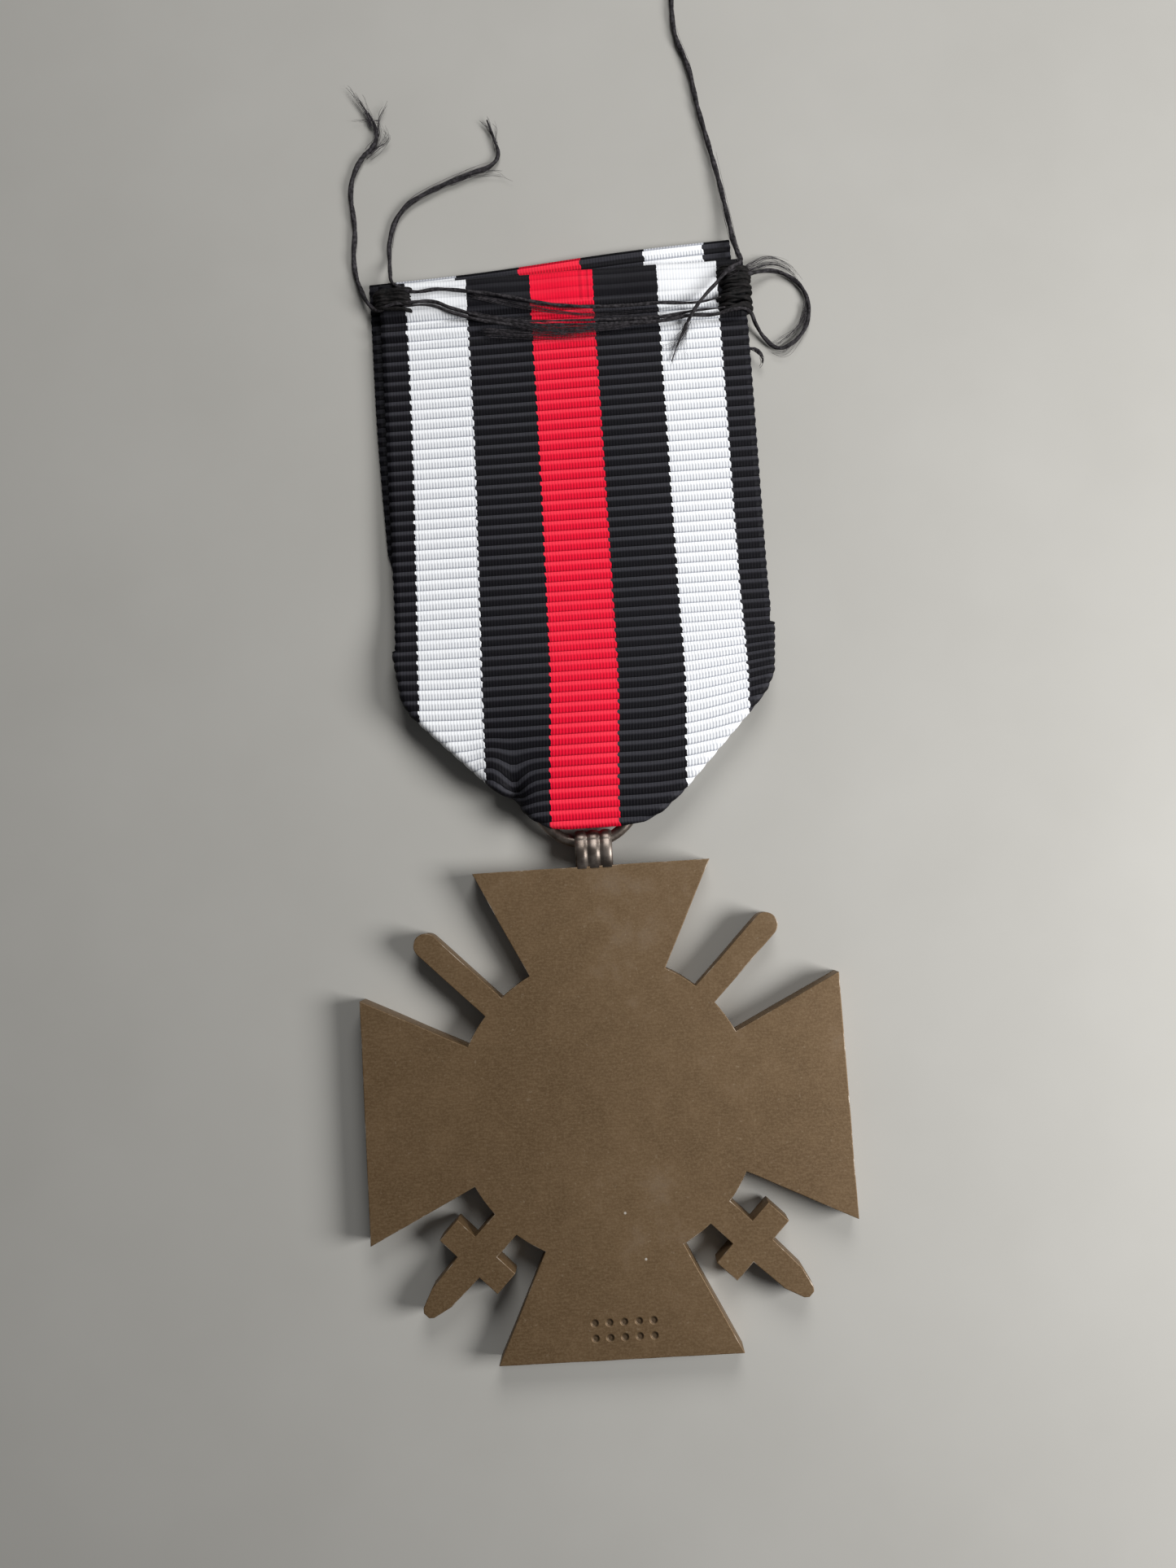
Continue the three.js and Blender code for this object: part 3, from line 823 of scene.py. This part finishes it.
back_x = (back_low.x + back_high.x) / 2
front_x = (front_low.x + front_high.x) / 2
back_layer = ribbon_layer(
    back_x, TOP_OF_BACK, back_height, roll_sign=1, turned_in=5.2 * MM, lean=0.0, hidden=0.0
)
front_layer = ribbon_layer(
    front_x, front_high.y - 0.85 * MM, front_height, roll_sign=-1, turned_in=0.0, lean=0.056,
    hidden=0.5 * MM,
)
whole_ribbon = bmesh.new()
for part in (back_layer, front_layer, fold_web()):
    part_mesh = bpy.data.meshes.new("part")
    part.to_mesh(part_mesh)
    part.free()
    whole_ribbon.from_mesh(part_mesh)
    bpy.data.meshes.remove(part_mesh)
ribbon = finished_piece("ribbon", whole_ribbon, cloth, None)
thickness = ribbon.modifiers.new("cloth_thickness", "SOLIDIFY")
thickness.thickness = CLOTH_THICKNESS
thickness.offset = 0.0
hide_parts("ribbon_lower", "ribbon_front_upper", "ribbon_back_upper", "ribbon_turned_in_end")
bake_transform(ribbon)

# ---- The sewing thread
# Black two-ply thread, which holds the upper ends of the ribbon together. Four lengths of it run across
# the back of the ribbon and end in loose, frayed ends and a loop.
THREAD_R = 0.20 * MM
# Millimetres between two sections of a thread, depth of the groove between its plies, their turn from one
# section to the next, and its size where it is drawn tight
ROUTE_STEP = 0.22
PLY_DEPTH = 0.30
PLY_TURN = 0.30
TIGHT_SIZE = 0.82


def spun_fibre(name, dark, pale):
    """Black spun fibre in two tones: paler for the loose fibres, darker as painted shade for the wound
    corners.
    """
    finish, shader, place = new_finish(name)
    fuzz = place.mottle(4200.0, 3.0)
    feed(
        shader,
        Base_Color=fuzz.above(0.35, 0.7).mix(dark, pale),
        Roughness=0.7,
        Specular_IOR_Level=0.15,
    )
    relief(shader, fuzz, 0.5, 0.04 * MM)
    return finish


thread_finish = spun_fibre("black_thread", (0.009, 0.008, 0.009), (0.046, 0.042, 0.046))


def smooth_route(points, step):
    """Points at even steps along one smooth curve through the given ones, in millimetres."""
    curve = bpy.data.curves.new("route", "CURVE")
    curve.dimensions = "3D"
    curve.resolution_u = 24
    spline = curve.splines.new("BEZIER")
    spline.bezier_points.add(len(points) - 1)
    for knot, point in zip(spline.bezier_points, points):
        knot.co = Vector(point) * MM
        knot.handle_left_type = knot.handle_right_type = "AUTO"
    holder = bpy.data.objects.new("route", curve)
    dense = [v.co.copy() for v in holder.to_mesh().vertices]
    holder.to_mesh_clear()
    bpy.data.objects.remove(holder)
    bpy.data.curves.remove(curve)
    total = sum((b - a).length for a, b in zip(dense, dense[1:]))
    count = max(2, round(total / (step * MM)))
    route, gone, target = [dense[0]], 0.0, total / count
    for a, b in zip(dense, dense[1:]):
        piece = (b - a).length
        while piece > 0 and gone + piece >= target * len(route) and len(route) < count:
            route.append(a.lerp(b, (target * len(route) - gone) / piece))
        gone += piece
    route.append(dense[-1])
    return route


def swept(bm, route, radius_at, sides, lobes=0.0, lay_turn=0.0):
    """A closed tube along a route. With lobes, it is two plies twisted on each other."""
    last = len(route) - 1
    frames = []
    normal = Vector((0, 0, 1))
    for i in range(last + 1):
        ahead = (route[min(i + 1, last)] - route[max(i - 1, 0)]).normalized()
        side = normal.cross(ahead)
        side = side.normalized() if side.length > 1e-6 else Vector((1, 0, 0))
        normal = ahead.cross(side).normalized()
        frames.append((side, normal))
    tube = bmesh.new()
    bmesh.ops.create_grid(tube, x_segments=sides, y_segments=last, size=0.5)
    for vert in tube.verts:
        i = round((vert.co.y + 0.5) * last)
        angle = 2 * math.pi * (vert.co.x + 0.5)
        reach = radius_at(i / last) * (1 - lobes + lobes * abs(math.cos(angle)))
        turned = angle + lay_turn * i
        side, normal = frames[i]
        vert.co = route[i] + (side * math.cos(turned) + normal * math.sin(turned)) * reach
    bmesh.ops.remove_doubles(tube, verts=tube.verts, dist=0.0001 * MM)
    bmesh.ops.holes_fill(tube, edges=[e for e in tube.edges if e.is_boundary], sides=0)
    tube_mesh = bpy.data.meshes.new("tube")
    tube.to_mesh(tube_mesh)
    tube.free()
    bm.from_mesh(tube_mesh)
    bpy.data.meshes.remove(tube_mesh)


def rest_on_ribbon(place, radius):
    """Lifts a point that would lie in the back layer onto it."""
    if abs(place.x - back_x) < RIBBON_HALF - 1.5 * MM and place.y < TOP_OF_BACK:
        surface = back_height(place.x, place.y) + CLOTH_THICKNESS / 2 + 0.4 * RIB_HEIGHT
        place.z = max(place.z, surface + 0.8 * radius)
    return place


def sewing_thread(
    name, points, far_end, replaced, loose_from, loose_size, opened_at=None, first_size=0.5
):
    """A thread that is drawn tight at first, opens over the red stripe and swells where it lies loose."""
    route = [rest_on_ribbon(p, THREAD_R) for p in smooth_route(points, ROUTE_STEP)]

    def radius_at(t):
        swell = smooth_step(loose_from - 0.08, loose_from + 0.08, t)
        thin = 1 - 0.6 * smooth_step(0.90, 1.0, t) if far_end == "bare" else 1.0
        thin *= first_size + (1 - first_size) * smooth_step(0.0, 0.12, t)
        if opened_at:
            thin *= 1 - 0.5 * math.exp(-((t - opened_at) / 0.09) ** 2)
        return THREAD_R * (TIGHT_SIZE + (loose_size - TIGHT_SIZE) * swell) * thin

    bm = bmesh.new()
    swept(bm, route, radius_at, 12, lobes=PLY_DEPTH, lay_turn=PLY_TURN)
    bmesh.ops.recalc_face_normals(bm, faces=bm.faces)
    piece = finished_piece(name, bm, thread_finish, "ribbon_top", replaced)
    length = sum((b - a).length for a, b in zip(route, route[1:]))
    return route


UPPER_THREAD = [
    (14.3, 39.9, 1.6), (12.2, 39.6, 1.45), (8.8, 39.8, 1.45), (5.4, 39.8, 1.45), (1.3, 40.1, 1.45),
    (-1.7, 40.7, 1.45), (-4.1, 41.3, 1.45), (-7.1, 42.0, 1.45), (-9.7, 42.4, 1.45), (-12.0, 42.3, 1.5),
    (-13.2, 42.8, 1.8), (-13.8, 43.6, 1.3), (-13.9, 44.4, 1.0), (-14.0, 45.8, 0.4), (-13.9, 47.8, 0.3),
    (-13.3, 49.5, 0.3), (-12.4, 50.7, 0.3), (-10.7, 51.7, 0.3), (-8.5, 52.6, 0.3), (-6.5, 53.3, 0.3),
    (-4.7, 53.9, 0.3), (-4.1, 54.8, 0.3), (-4.4, 56.2, 0.3), (-4.9, 58.0, 0.3),
]
MIDDLE_THREAD = [
    (14.3, 38.9, 1.6), (11.4, 38.85, 1.45), (8.8, 38.55, 1.45), (5.3, 38.65, 1.45), (1.2, 38.85, 1.45),
    (-3.0, 39.15, 1.45), (-5.8, 39.65, 1.45), (-8.6, 40.65, 1.45), (-10.3, 41.35, 1.45),
    (-12.0, 41.4, 1.5), (-13.6, 41.3, 1.8),
    (-15.1, 41.1, 1.3), (-15.9, 41.9, 0.9), (-16.5, 43.2, 0.5), (-17.0, 44.9, 0.3), (-17.1, 46.7, 0.3),
    (-16.9, 48.7, 0.3), (-17.0, 50.6, 0.3), (-17.1, 52.4, 0.3), (-16.7, 54.1, 0.3), (-15.8, 55.6, 0.3),
    (-14.8, 56.6, 0.3), (-14.6, 57.9, 0.3), (-15.2, 59.5, 0.3),
]
LOWER_THREAD = [
    (-12.9, 41.1, 1.6), (-10.3, 41.0, 1.45), (-8.7, 40.3, 1.45), (-5.8, 39.3, 1.45), (-3.0, 38.8, 1.45),
    (1.2, 38.5, 1.45), (5.3, 38.3, 1.45), (8.8, 38.2, 1.45), (11.4, 38.5, 1.45), (13.5, 38.4, 1.5),
    (15.0, 38.6, 1.8), (16.3, 38.6, 1.3), (16.9, 37.6, 0.7), (17.6, 36.5, 0.4), (18.7, 35.6, 0.3),
    (19.8, 35.9, 0.3), (20.8, 36.8, 0.3), (21.4, 38.0, 0.3), (21.5, 39.3, 0.3), (21.1, 40.7, 0.3),
    (20.1, 41.8, 0.3), (18.7, 42.4, 0.4), (17.4, 42.2, 0.8), (16.4, 41.8, 1.3), (15.4, 41.6, 1.7),
]
LONG_THREAD = [
    (9.5, 34.6, 1.45), (10.0, 35.8, 1.45), (10.7, 37.2, 1.5), (11.6, 38.6, 2.0), (12.8, 40.0, 2.1),
    (13.5, 40.7, 2.0), (14.8, 42.0, 2.0), (15.9, 42.9, 1.5), (15.7, 43.8, 1.4), (15.5, 45.0, 1.0),
    (15.3, 46.7, 0.7), (14.7, 50.8, 0.5), (14.1, 54.0, 0.4), (13.4, 57.6, 0.35), (12.8, 61.5, 0.3),
    (11.9, 64.6, 0.3), (11.8, 67.1, 0.3), (11.9, 70.0, 0.3), (11.6, 73.0, 0.3),
]
OPENED_AT = 0.29
upper = sewing_thread(
    "thread_upper", UPPER_THREAD, "bare", ["thread_stitch_upper", "thread_end_left_inner"], 0.62, 1.05
)
middle = sewing_thread(
    "thread_middle", MIDDLE_THREAD, "bare", ["thread_stitch_middle", "thread_end_left_outer"], 0.62, 1.15,
    OPENED_AT,
)
sewing_thread(
    "thread_lower", LOWER_THREAD, "object", ["thread_stitch_lower", "thread_loop_right"], 0.66, 0.95,
    OPENED_AT,
)
long_end = sewing_thread(
    "thread_long", LONG_THREAD, "bare", ["thread_strand_right", "thread_end_right_long"], 0.25, 1.15,
    first_size=0.3,
)

# ---- The wound corners
# At both upper corners the same thread is wound over the edges of both layers many times and drawn
# tight, which ties the layers together and holds the stitches' ends.
draw = random.Random(7)
# Painted shade: the wound turns get a darker copy of the thread's finish for the shadow among them
wound_painted_shade_finish = spun_fibre("wound_thread_painted_shade", (0.003, 0.003, 0.003), (0.012, 0.010, 0.010))


def wound_corner(name, side, first, last, turns, reach, node):
    """Turns of thread over the edges of both layers and onto the back."""
    low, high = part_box(node)
    edge_x = high.x / MM if side > 0 else low.x / MM
    bm = bmesh.new()
    for turn in range(turns):
        t = (turn + 0.5) / turns
        y0 = first + (last - first) * t + draw.uniform(-0.15, 0.15)
        y1 = y0 + draw.uniform(-0.5, 0.4)
        inner = edge_x - side * (reach + draw.uniform(-0.3, 0.3))
        outer = edge_x + side * draw.uniform(0.25, 0.5)
        top = 1.42 + draw.uniform(0.0, 0.35)
        points = [
            (outer - side * 0.5, y0 - 0.1, 0.3), (outer, y0, 0.5), (outer + side * 0.1, y0, 0.95),
            (outer - side * 0.35, y0 + (y1 - y0) * 0.2, top - 0.05),
            (outer - side * 1.0, y0 + (y1 - y0) * 0.5, top),
            (inner + side * 0.5, y1, top - 0.05), (inner, y1, 0.8),
        ]
        turn_route = smooth_route(points, ROUTE_STEP)
        swept(bm, turn_route, lambda t: THREAD_R * 0.85, 10, lobes=PLY_DEPTH, lay_turn=PLY_TURN)
    bmesh.ops.recalc_face_normals(bm, faces=bm.faces)
    return finished_piece(name, bm, wound_painted_shade_finish, "ribbon_top", [node])


wound_corner("wound_corner_left", -1, 41.2, 42.8, 18, 2.7, "stitch_knot_left")
wound_corner("wound_corner_right", 1, 38.8, 42.4, 24, 2.1, "stitch_knot_right")

# ---- Frayed ends and loose fibres
# Fine black fibres of the thread. They have spread where it was cut, stand off it along its length, and
# lie in a band over the red stripe. They hold on only by the spinning.
FIBRE_R = 0.020 * MM
# Heights in millimetres at which fibres lie on the table and on the ribbon
TABLE_LEVEL = 0.3
RIBBON_LEVEL = 1.4
loose_finish = spun_fibre("loose_fibre", (0.020, 0.018, 0.020), (0.060, 0.054, 0.060))


def at_level(level, *places):
    """A guide through points that all lie at one height."""
    return [(x, y, level) for x, y in places]


def fibre_lock(bm, guide, count, near, far, thick):
    """Fibres that follow a guide through points in millimetres and drift apart along it."""
    path = smooth_route(guide, 0.3)
    for _ in range(count):
        start = Vector((draw.gauss(0, 1), draw.gauss(0, 1), 0)) * near * MM
        end = Vector((draw.gauss(0, 1), draw.gauss(0, 1), 0)) * far * MM
        phase = draw.uniform(0, 2 * math.pi)
        amount = draw.uniform(0.02, 0.14) * MM
        height = draw.uniform(-0.1, 0.25) * MM
        last = max(4, round(len(path) * draw.uniform(0.55, 1.0)))
        points = []
        for i, place in enumerate(path[:last]):
            t = i / (len(path) - 1)
            wiggle = Vector((math.sin(phase + 9 * t), math.cos(1.3 * phase + 7 * t), 0)) * amount
            point = place + start.lerp(end, t) + wiggle
            point.z = max(point.z + height * math.sin(math.pi * t), 2 * FIBRE_R)
            points.append(rest_on_ribbon(point, FIBRE_R))
        size = FIBRE_R * thick * draw.uniform(0.7, 1.2)
        swept(bm, points, lambda t, size=size: size * (1 - 0.6 * t), 5)


def along_thread(route, first, last):
    """A stretch of a thread's route, as a guide."""
    return [tuple(p / MM) for p in route[first:last:7]]


fibres = bmesh.new()
# The lock and wisps of the outer left end: guide, number of fibres, spread at both ends and thickness
for guide, count, near, far, thick in (
    (at_level(TABLE_LEVEL, (-15.0, 58.4), (-15.3, 59.5), (-16.1, 60.9), (-17.0, 62.3)), 13, 0.08, 0.13, 1.3),
    (at_level(TABLE_LEVEL, (-14.7, 57.4), (-14.9, 58.7), (-15.4, 60.3), (-15.9, 61.8)), 5, 0.08, 0.15, 1.0),
    (at_level(TABLE_LEVEL, (-14.5, 57.2), (-14.3, 58.6), (-13.9, 59.6), (-13.4, 60.4)), 11, 0.12, 0.15, 1.0),
    (at_level(TABLE_LEVEL, (-14.4, 58.7), (-15.5, 58.9), (-16.6, 58.7)), 6, 0.1, 0.2, 1.0),
    (at_level(TABLE_LEVEL, (-15.8, 55.6), (-14.6, 56.1), (-13.7, 57.0), (-14.1, 58.4)), 18, 0.2, 0.3, 1.0),
    (along_thread(middle, 210, 268), 16, 0.12, 0.3, 1.0),
    # The inner left end
    (at_level(TABLE_LEVEL, (-4.3, 55.9), (-4.7, 57.4), (-5.0, 58.9)), 9, 0.06, 0.10, 1.2),
    (at_level(TABLE_LEVEL, (-4.5, 56.6), (-5.0, 57.5), (-5.5, 58.2)), 6, 0.06, 0.12, 1.0),
    (at_level(TABLE_LEVEL, (-4.3, 55.2), (-4.2, 56.8), (-4.3, 58.0)), 5, 0.1, 0.15, 1.0),
    (at_level(TABLE_LEVEL, (-8.5, 52.4), (-6.0, 53.2), (-4.2, 53.2), (-3.3, 52.5)), 12, 0.15, 0.35, 1.0),
    (along_thread(upper, 150, 215), 14, 0.12, 0.3, 1.0),
):
    fibre_lock(fibres, guide, count, near, far, thick)
# The frayed end on the right white stripe
for tip in ((8.5, 36.5), (8.7, 35.3), (9.3, 34.6), (9.9, 34.5), (10.5, 34.9), (11.0, 35.6), (9.6, 37.4)):
    guide = [(11.1, 38.0, 1.5), (10.6, 36.9, 1.4), ((10.4 + tip[0]) / 2, 36.0, 1.4), (*tip, 1.3)]
    fibre_lock(fibres, guide, 6, 0.15, 0.45, 0.65)
for guide, count, near, far, thick in (
    # The opened plies over the red stripe
    (at_level(RIBBON_LEVEL, (-7.0, 40.0), (-3, 38.9), (0, 38.1), (4, 37.9)), 44, 0.12, 0.40, 1.0),
    (at_level(RIBBON_LEVEL, (8.5, 38.4), (4, 38.1), (0, 38.2), (-4.5, 39.2)), 44, 0.12, 0.40, 1.0),
    (at_level(RIBBON_LEVEL, (-6.0, 38.4), (-2, 37.8), (2, 37.6), (6, 37.8)), 20, 0.3, 0.3, 1.0),
    (at_level(RIBBON_LEVEL, (-7.0, 41.6), (-2, 40.3), (3, 39.3), (8, 39.0), (12, 39.4)), 14, 0.2, 0.3, 1.0),
    # The fibres that stand off the loop
    ([(16.2, 42.4, 1.0), (17.3, 43.2, 0.5), (18.7, 43.6, 0.3), (19.9, 42.9, 0.3), (20.9, 41.6, 0.3)],
     12, 0.15, 0.25, 1.0),
    ([(16.2, 42.0, 1.2), (17.5, 42.7, 0.6), (18.8, 42.9, 0.4), (20.1, 42.3, 0.3), (21.2, 40.8, 0.3)],
     14, 0.12, 0.12, 1.0),
    (at_level(TABLE_LEVEL, (21.4, 39.4), (21.2, 37.6), (20.2, 36.0), (19.0, 35.1), (17.8, 35.6)),
     14, 0.12, 0.25, 1.0),
    ([(21.3, 38.9, 0.3), (20.5, 37.4, 0.3), (19.3, 36.5, 0.3), (18.1, 36.0, 0.3), (17.3, 36.9, 0.4)],
     12, 0.1, 0.2, 1.0),
    # The fibres along the long end, and a curled bit of selvedge yarn
    (along_thread(long_end, 40, 130), 12, 0.15, 0.25, 1.0),
    (along_thread(long_end, 100, 185), 8, 0.1, 0.3, 1.0),
    ([(16.1, 35.4, 1.0), (16.7, 35.3, 0.9), (17.1, 34.8, 0.8), (17.2, 34.2, 0.6), (16.9, 33.9, 0.5)],
     16, 0.05, 0.06, 2.0),
):
    fibre_lock(fibres, guide, count, near, far, thick)
bmesh.ops.recalc_face_normals(fibres, faces=fibres.faces)
finished_piece("loose_fibres", fibres, loose_finish, "ribbon_top")
